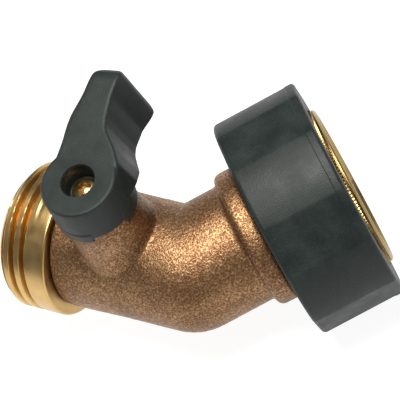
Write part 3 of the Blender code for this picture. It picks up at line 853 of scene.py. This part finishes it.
@dataclass
class SwivelInlet:
    """Swivel nut with its brass insert, washer and the tailpiece that traps it."""

    layout: Layout
    plastic: bpy.types.Material
    brass: bpy.types.Material
    rubber: bpy.types.Material
    lobes: int = 6
    land: float = 33.0
    tilt: float = 16.0
    edge: float = 0.9 * MM
    band: float = 1.8 * MM
    band_step: float = 0.10 * MM
    corner_softness: int = 5
    insert_lip: float = 10.5 * MM
    thread_root: float = 13.6 * MM
    thread_crest: float = 12.3 * MM
    knurls: int = 150
    knurl_depth: float = 0.22 * MM

    def outline(self, angles: np.ndarray, radius: float) -> np.ndarray:
        """Reach of the grip's outer wall: round lands joined by flats, with soft corners."""
        pitch = math.tau / self.lobes
        half_land = math.radians(self.land) / 2
        turn = np.abs((angles - math.radians(self.tilt) + pitch / 2) % pitch - pitch / 2)
        flat_half = pitch / 2 - half_land
        chord = radius * math.cos(flat_half) / np.cos(pitch / 2 - turn)
        reach = np.where(turn <= half_land, radius, chord)
        width = self.corner_softness
        window = np.hanning(width + 2)[1:-1]
        wrapped = np.concatenate([reach[-(width // 2):], reach, reach[: width // 2]])
        return np.convolve(wrapped, window / window.sum(), mode="valid")

    def build_grip(self) -> None:
        """Plastic grip moulded over the insert."""
        back, front = self.layout.inlet_span("nut_grip")
        radius = -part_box("nut_grip")[0].y
        insert_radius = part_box("nut_insert")[1].z + 0.3 * MM
        insert_back = self.layout.inlet_span("nut_insert")[0] - 0.3 * MM
        hole = self.insert_lip + 0.3 * MM
        body = radius - self.band_step
        outer = rounded([
            (hole, back, 0.0),
            (body, back, self.edge),
            (body, front - self.band, 0.0),
            (radius, front - self.band + 0.12 * MM, 0.05 * MM),
            (radius, front, self.edge * 0.75),
            (insert_radius, front, 0.25 * MM),
            (insert_radius, insert_back, 0.3 * MM),
            (hole, insert_back, 0.2 * MM),
        ])

        def radius_at(angles: np.ndarray, reach: float, height: float) -> np.ndarray:
            """Follow the lobed outline on the outer wall and circles inside it."""
            inset = radius - reach
            if inset > 3 * MM:
                return np.full(len(angles), reach)
            return self.outline(angles, radius) - inset

        piece = turned("swivel_grip", outer, self.layout.inlet, 720, radius_at)
        settle(piece, "nut_grip", Body.NUT, self.plastic)

    def build_insert(self) -> None:
        """Brass insert: female thread inside, knurled edge and ringed rim outside."""
        back, front = self.layout.inlet_span("nut_insert")
        plastic_front = self.layout.inlet_span("nut_grip")[1]
        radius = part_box("nut_insert")[1].z
        flange = self.layout.inlet_span("swivel_tailpiece")[1] - 2.3 * MM
        thread = HoseThread(self.thread_root, self.thread_crest,
                            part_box("inlet_washer")[1].x - self.layout.elbow.x + 0.6 * MM,
                            front - 0.8 * MM, fade=0.9)
        wall = [(self.thread_root, height) for height in thread.heights(0.09 * MM)]
        knurl_low, knurl_high = plastic_front - 0.6 * MM, plastic_front + 0.35 * MM
        rest = rounded([
            (self.thread_root + 0.05 * MM, front - 0.5 * MM, 0.0),
            (self.thread_root + 0.5 * MM, front, 0.15 * MM),
            (radius - 0.65 * MM, front, 0.25 * MM),
            (radius - 0.35 * MM, front - 0.30 * MM, 0.1 * MM),
            (radius - 0.20 * MM, front - 0.35 * MM, 0.05 * MM),
            (radius - 0.20 * MM, front - 0.52 * MM, 0.05 * MM),
            (radius - 0.35 * MM, front - 0.57 * MM, 0.05 * MM),
            (radius - 0.35 * MM, front - 0.68 * MM, 0.05 * MM),
            (radius, knurl_high, 0.05 * MM),
            (radius, knurl_high - 0.3 * MM, 0.0),
            (radius, knurl_low, 0.0),
            (radius - 0.2 * MM, knurl_low - 0.2 * MM, 0.0),
            (radius - 0.2 * MM, back, 0.3 * MM),
            (self.insert_lip, back, 0.3 * MM),
            (self.insert_lip, flange, 0.3 * MM),
            (self.thread_root + 0.05 * MM, flange, 0.3 * MM),
        ], closed=False, steps=4)

        def radius_at(angles: np.ndarray, reach: float, height: float) -> np.ndarray:
            """Thread on the inner wall, knurls on the outer one."""
            if abs(reach - self.thread_root) < 1e-7:
                return thread.radius(angles, height)
            if reach > radius - 1e-7 and knurl_low < height < knurl_high:
                tooth = np.abs(((angles * self.knurls / math.tau) % 1) * 2 - 1)
                return reach - tooth * self.knurl_depth
            return np.full(len(angles), reach)

        piece = turned("swivel_insert", wall + rest, self.layout.inlet, self.knurls * 6, radius_at)
        settle(piece, "nut_insert", Body.NUT, self.brass)

    def build_washer(self) -> None:
        """Flat hose washer with two raised sealing rings."""
        back, front = self.layout.inlet_span("inlet_washer")
        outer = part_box("inlet_washer")[1].z
        inner = 8.0 * MM
        low = front - 0.25 * MM
        ribs: list[Corner] = []
        for centre in (11.4 * MM, 9.6 * MM):
            ribs += [(centre + 0.45 * MM, low, 0.1 * MM), (centre + 0.2 * MM, front, 0.12 * MM),
                     (centre - 0.2 * MM, front, 0.12 * MM), (centre - 0.45 * MM, low, 0.1 * MM)]
        edge = 0.35 * MM
        profile = rounded([(outer, low, edge), *ribs, (inner, low, edge), (inner, back, edge),
                           (outer, back, edge)])
        piece = turned("hose_washer", profile, self.layout.inlet)
        settle(piece, "inlet_washer", Body.NUT, self.rubber)

    def build_tailpiece(self) -> None:
        """Flanged tube pressed into the collar."""
        start, flange_top = self.layout.inlet_span("swivel_tailpiece")
        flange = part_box("swivel_tailpiece")[1].z
        tube, bore = 9.6 * MM, 7.5 * MM
        under = flange_top - 2.0 * MM
        profile = rounded([
            (bore, flange_top, 0.6 * MM),
            (flange, flange_top, 0.35 * MM),
            (flange, under, 0.35 * MM),
            (tube, under, 0.2 * MM),
            (tube, start, 0.5 * MM),
            (bore, start, 0.4 * MM),
        ])
        piece = turned("pressed_tail", profile, self.layout.inlet)
        settle(piece, "swivel_tailpiece", Body.FIXED, self.brass)

    def build(self) -> None:
        """Build and place the whole inlet."""
        self.build_tailpiece()
        self.build_insert()
        self.build_grip()
        self.build_washer()


@dataclass
class BallValve:
    """Ball, seats, stem and stem seals inside the casting."""

    layout: Layout
    plate: bpy.types.Material
    brass: bpy.types.Material
    polymer: bpy.types.Material
    rubber: bpy.types.Material
    ball_radius: float = 8.0 * MM
    ball_bore: float = 5.0 * MM
    ring_heights: dict[str, float] = field(
        default_factory=lambda: {"lower": 13.2 * MM, "upper": 16.6 * MM})

    def build_ball(self) -> None:
        """Plated ball with a bore and a slot for the stem's tang."""
        ball = turned("plated_ball", half_circle(self.ball_radius, 81), self.layout.valve, 128)
        across = self.layout.valve @ Matrix.Rotation(math.radians(90), 4, "X")
        bore = rounded([(0, 9.5 * MM, 0), (self.ball_bore + 2.2 * MM, 9.5 * MM, 0),
                        (self.ball_bore, 5.9 * MM, 0.8 * MM), (self.ball_bore, -5.9 * MM, 0.8 * MM),
                        (self.ball_bore + 2.2 * MM, -9.5 * MM, 0), (0, -9.5 * MM, 0)], closed=False)
        cut(ball, [turned("bore", bore, across, 96),
                   block("slot", (18 * MM, 2.8 * MM, 3.1 * MM), (0, 0, 7.45 * MM),
                         self.layout.valve)])
        settle(ball, "valve_ball", Body.LEVER, self.plate)

    def build_seats(self) -> None:
        """Two polymer rings that cup the ball."""
        cup = self.ball_radius + 0.3 * MM
        inner, outer, near, far = 5.4 * MM, 8.2 * MM, 3.7 * MM, 7.0 * MM
        start, end = math.asin(near / cup), math.acos(inner / cup)
        face = [(cup * math.cos(part), cup * math.sin(part))
                for part in np.linspace(start, end, 13)]
        edge = rounded([(*face[-1], 0.0), (inner, far, 0.2 * MM), (outer, far, 0.3 * MM),
                        (outer, near, 0.1 * MM), (*face[0], 0.0)], closed=False)
        for side, sign in (("outlet", 1), ("inlet", -1)):
            place = self.layout.valve @ Matrix.Rotation(math.radians(90 * sign), 4, "Y")
            piece = turned("seat_" + side, face[1:-1] + edge, place, 120)
            settle(piece, "seat_ring_" + side, Body.FIXED, self.polymer)

    def build_stem(self) -> None:
        """Stem with its flange, seal grooves, tang, square end and tapped hole."""
        shaft, flange, groove, half = 2.9 * MM, 4.2 * MM, 1.7 * MM, 0.95 * MM
        low, top = 8.5 * MM, 20.9 * MM
        corners: list[Corner] = [(0, top, 0), (shaft, top, 0.2 * MM)]
        for height in sorted(self.ring_heights.values(), reverse=True):
            corners += [(shaft, height + half, 0.1 * MM), (groove, height + half, 0.15 * MM),
                        (groove, height - half, 0.15 * MM), (shaft, height - half, 0.1 * MM)]
        corners += [(shaft, low + 1 * MM, 0.1 * MM), (flange, low + 1 * MM, 0.2 * MM),
                    (flange, low, 0.2 * MM), (0, low, 0)]
        stem = turned("turned_stem", rounded(corners, closed=False, steps=3), self.layout.valve, 96)
        tang = block("tang", (6.6 * MM, 2.2 * MM, 2.8 * MM), (0, 0, 7.6 * MM), self.layout.valve)
        square = block("square", (4 * MM, 4 * MM, 2.6 * MM), (0, 0, 21.7 * MM), self.layout.valve)
        cut(stem, [tang, square], "UNION")
        cut(stem, [rod("tapped_hole", 1.55 * MM, 18.4 * MM, 24 * MM, self.layout.valve, 48)])
        settle(stem, "valve_stem", Body.LEVER, self.brass)

    def build_seals(self) -> None:
        """Stem O-rings and the thrust washer."""
        section, reach = 0.5 * MM, 2.45 * MM
        for place, height in self.ring_heights.items():
            circle = [(reach + section * math.cos(part), height - section * math.sin(part))
                      for part in np.linspace(0, math.tau, 24, endpoint=False)]
            ring = turned("o_ring_" + place, circle, self.layout.valve, 80)
            settle(ring, "stem_o_ring_" + place, Body.LEVER, self.rubber)
        high, low = 10.6 * MM, 9.8 * MM
        profile = rounded([(3.2 * MM, high, 0.15 * MM), (4.2 * MM, high, 0.15 * MM),
                           (4.2 * MM, low, 0.15 * MM), (3.2 * MM, low, 0.15 * MM)], steps=3)
        washer = turned("thrust_washer", profile, self.layout.valve, 80)
        settle(washer, "stem_thrust_washer", Body.FIXED, self.polymer)

    def build(self) -> None:
        """Build and place the valve's inside."""
        self.build_ball()
        self.build_seats()
        self.build_stem()
        self.build_seals()


@dataclass
class Lever:
    """Black lever with its recessed cross-head screw."""

    layout: Layout
    plastic: bpy.types.Material
    brass: bpy.types.Material
    hub_high: float = 28.6 * MM
    hub_low: float = 20.9 * MM
    hub_top_radius: float = 6.9 * MM
    hub_low_radius: float = 7.5 * MM
    draft: float = 0.10
    lean_places: Pair = (10 * MM, 16 * MM)
    leans: Pair = (0.17, 0.10)
    skin_step: float = 0.16 * MM
    recess_radius: float = 3.0 * MM
    recess_floor: float = 24.5 * MM
    # Arm, from the stem axis outwards: distance, reach to the left and to the right, low edge and
    # high edge, in millimetres
    arm: tuple[tuple[float, ...], ...] = (
        (0.0, 6.2, 6.7, 22.5, 27.9),
        (4.0, 5.7, 6.4, 21.5, 28.6),
        (7.0, 5.35, 4.8, 19.4, 28.95),
        (9.0, 5.3, 3.2, 18.6, 29.2),
        (10.4, 5.25, 2.35, 18.5, 29.35),
        (12.2, 4.95, 2.1, 18.4, 29.6),
        (16.0, 3.75, 2.1, 17.4, 30.1),
        (19.0, 3.2, 2.5, 16.7, 30.5),
        (20.6, 2.9, 2.7, 16.6, 30.3),
        (21.5, 1.9, 1.9, 17.6, 29.2),
    )

    def arm_shape(self) -> bpy.types.Object:
        """Arm lofted through rounded sections that widen downwards."""
        table = np.array(self.arm) * MM
        stations = np.linspace(table[0, 0], table[-1, 0], 70)
        left, right, low, high = (eased(stations, table[:, 0], table[:, column], 5)
                                  for column in range(1, 5))
        rings = []
        for index, along in enumerate(stations):
            depth = high[index] - low[index]
            spread = self.draft * depth
            lean = np.interp(along, self.lean_places, self.leans) * depth
            outline = rounded([
                (left[index], high[index], 0.9 * MM),
                (-right[index], high[index], 0.7 * MM),
                (-right[index] - lean, low[index], 0.5 * MM),
                (left[index] + spread, low[index], 0.5 * MM),
            ], steps=5)
            rings.append([(along, side, height) for side, height in outline])
        return skin("arm", np.array(rings), self.layout.lever, "capped")

    def skirt(self, start: float, end: float, low: float, proud: float) -> bpy.types.Object:
        """A sector of the lower skirt, angles in degrees from +X."""
        inner, outer = 7.1 * MM, 7.8 * MM + proud
        steps = max(3, round((end - start) / 4))
        rings = []
        for angle in np.radians(np.linspace(start, end, steps)):
            section = [(outer, low), (outer, 22.2 * MM), (inner - 1 * MM, 23.4 * MM), (inner, low)]
            rings.append([(reach * math.cos(angle), reach * math.sin(angle), height)
                          for reach, height in section])
        return skin("skirt", np.array(rings), Matrix.Translation(self.layout.lever.translation),
                    "capped")

    def build_handle(self) -> None:
        """Handle, fused from the hub, the arm and the skirt, then bored."""
        place = self.layout.lever
        hub = turned("hub", rounded([
            (0, self.hub_high, 0),
            (self.hub_top_radius, self.hub_high, 0.5 * MM),
            (self.hub_low_radius, self.hub_low, 0.3 * MM),
            (0, self.hub_low, 0),
        ], closed=False), place, 120)
        parts = [hub, self.arm_shape(), self.skirt(-59, 96, 19.2 * MM, -0.3 * MM),
                 self.skirt(200, 249, 19.9 * MM, -0.25 * MM)]
        handle = melt("lever_grip", parts, place, self.skin_step, 4)
        recess = rounded([
            (0, self.hub_high + 3 * MM, 0),
            (self.recess_radius + 0.5 * MM, self.hub_high + 3 * MM, 0),
            (self.recess_radius + 0.35 * MM, self.hub_high + 0.3 * MM, 0),
            (self.recess_radius, self.hub_high - 0.35 * MM, 0.3 * MM),
            (self.recess_radius, self.recess_floor, 0.3 * MM),
            (0, self.recess_floor, 0),
        ], closed=False)
        width = 4.6 * MM
        cut(handle, [
            turned("recess", recess, place, 96),
            rod("screw_hole", 1.6 * MM, self.hub_low - 1 * MM, self.hub_high, place, 48),
            block("socket", (width, width, 3.4 * MM), (0, 0, 21.6 * MM), self.layout.valve),
        ])
        settle(handle, "lever_handle", Body.LEVER, self.plastic)

    def build_screw(self) -> None:
        """Round-headed screw with a tapered cross recess."""
        place = self.layout.lever
        low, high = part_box("lever_screw")[0].z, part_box("lever_screw")[1].z
        head, shank, under = 2.35 * MM, 1.25 * MM, self.recess_floor + 0.3 * MM
        screw = turned("cross_head_screw", rounded([
            (0, high, 0),
            (0.9 * MM, high - 0.06 * MM, 0.5 * MM),
            (head - 0.25 * MM, high - 0.62 * MM, 0.5 * MM),
            (head, under + 0.35 * MM, 0.2 * MM),
            (head, under, 0.1 * MM),
            (shank, under, 0.1 * MM),
            (shank, low + 0.6 * MM, 0.2 * MM),
            (0.5 * MM, low, 0.1 * MM),
            (0, low, 0),
        ], closed=False), place, 96)
        rings = []
        for depth, scale in ((0.5 * MM, 1.25), (-0.6 * MM, 0.80), (-1.1 * MM, 0.45)):
            arm, half = 1.6 * MM * scale, 0.40 * MM * (0.5 + scale / 2)
            cross = [(arm, -half), (arm, half), (half, half), (half, arm), (-half, arm),
                     (-half, half), (-arm, half), (-arm, -half), (-half, -half), (-half, -arm),
                     (half, -arm), (half, -half)]
            rings.append([(x, y, high + depth) for x, y in cross])
        turn = Matrix.Rotation(math.radians(20), 4, "Z")
        cut(screw, [skin("cross", np.array(rings), place @ turn, "capped")])
        settle(screw, "lever_screw", Body.LEVER, self.brass)

    def build(self) -> None:
        """Build and place the lever."""
        self.build_handle()
        self.build_screw()


# Studio


@dataclass
class Studio:
    """Pale floor, soft lights and the camera."""

    aim: tuple[float, float, float] = (-25.45 * MM, 8.87 * MM, 5.39 * MM)
    azimuth: float = 8.41
    elevation: float = 55.31
    roll: float = 35.2
    distance: float = 433 * MM
    lens: float = 219.7

    def axes(self) -> Matrix:
        """The camera's right, up and back directions, as columns."""
        turn, lift, roll = (math.radians(a) for a in (self.azimuth, self.elevation, self.roll))
        back = Vector((math.sin(turn) * math.cos(lift), -math.cos(turn) * math.cos(lift),
                       math.sin(lift)))
        level = Vector((math.cos(turn), math.sin(turn), 0))
        rise = back.cross(level)
        right = level * math.cos(roll) - rise * math.sin(roll)
        up = level * math.sin(roll) + rise * math.cos(roll)
        return Matrix((right, up, back)).transposed()

    def camera(self) -> None:
        """Camera at the viewing angle."""
        data = bpy.data.cameras.new("camera")
        data.lens = self.lens
        data.sensor_width = 36.0
        data.clip_start = 0.01
        data.clip_end = 10.0
        camera = bpy.data.objects.new("camera", data)
        bpy.context.scene.collection.objects.link(camera)
        axes = self.axes()
        camera.matrix_world = Matrix.Translation(
            Vector(self.aim) + axes.col[2] * self.distance) @ axes.to_4x4()
        bpy.context.scene.camera = camera

    def lamp(self, name: str, toward: Sequence[float], distance: float, size: Pair, power: float,
             tint: Colour = (1, 1, 1)) -> None:
        """Add a soft box that faces the object.

        Args:
            name: the lamp's name.
            toward: its direction from the object along the camera's right, up and back.
            distance: how far it stands.
            size: its width and height.
            power: watts.
            tint: its colour.
        """
        data = bpy.data.lights.new(name, "AREA")
        data.shape = "RECTANGLE"
        data.size, data.size_y = size
        data.energy = power
        data.color = tint
        lamp = bpy.data.objects.new(name, data)
        bpy.context.scene.collection.objects.link(lamp)
        direction = (self.axes() @ Vector(toward)).normalized()
        lamp.location = Vector(self.aim) + direction * distance
        lamp.rotation_mode = "QUATERNION"
        lamp.rotation_quaternion = (-direction).to_track_quat("-Z", "Y")

    def floor(self) -> None:
        """Pale floor under the part."""
        bench = Bench("pale_floor", Roughness=0.9, Emission_Strength=0.92)
        bench.dress(Base_Color=(0.25, 0.25, 0.25), Emission_Color=(1.0, 1.0, 1.0))
        shape = bmesh.new()
        bmesh.ops.create_grid(shape, x_segments=1, y_segments=1, size=3.0)
        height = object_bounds()[0].z - 0.05 * MM
        floor = finish_mesh("floor", shape, Matrix.Translation((0, 0, height)))
        floor.data.materials.append(bench.material)
        floor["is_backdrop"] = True

    def world(self) -> None:
        """Even, faintly blue surroundings."""
        world = bpy.data.worlds.new("studio")
        world.use_nodes = True
        background = world.node_tree.nodes["Background"]
        background.inputs["Color"].default_value = (0.92, 0.95, 1.0, 1.0)
        background.inputs["Strength"].default_value = 0.16
        bpy.context.scene.world = world
        bpy.context.scene.view_settings.view_transform = "Standard"

    def build(self) -> None:
        """Set the studio up."""
        self.camera()
        self.lamp("key", (-0.25, 0.50, 0.85), 0.55, (0.30, 0.22), 5.6, (1.0, 0.97, 0.92))
        self.lamp("fill", (0.9, -0.1, 0.5), 0.7, (0.5, 0.5), 0.4)
        self.lamp("rim", (-0.9, 0.2, -0.1), 0.6, (0.3, 0.4), 1.0)
        self.floor()
        self.world()


def main() -> None:
    """Build every sub-assembly in order."""
    logging.basicConfig(level=logging.INFO, format="%(name)s: %(message)s")
    layout = Layout.from_frame()
    bronze = CastBronze().make()
    inlet_brass = TurnedBrass("inlet_brass", layout.inlet, (0.15, 0.098, 0.038),
                              (0.42, 0.30, 0.12)).make()
    outlet_brass = TurnedBrass("outlet_brass", layout.outlet).make()
    stem_brass = TurnedBrass("stem_brass", layout.valve).make()
    plate = BrightPlate().make()
    plastic = MouldedPlastic().make()
    polymer = SoftSeal("white_polymer", (0.80, 0.80, 0.77), (0.66, 0.65, 0.60), (0.4, 0.6)).make()
    rubber = SoftSeal("black_rubber", (0.018, 0.018, 0.019), (0.05, 0.05, 0.052),
                      (0.55, 0.8)).make()
    CastElbow(layout, bronze).build()
    OutletNipple(layout, outlet_brass).build()
    BallValve(layout, plate, stem_brass, polymer, rubber).build()
    SwivelInlet(layout, plastic, inlet_brass, rubber).build()
    Lever(layout, plastic, stem_brass).build()
    Studio().build()


if __name__ == "__main__":
    main()
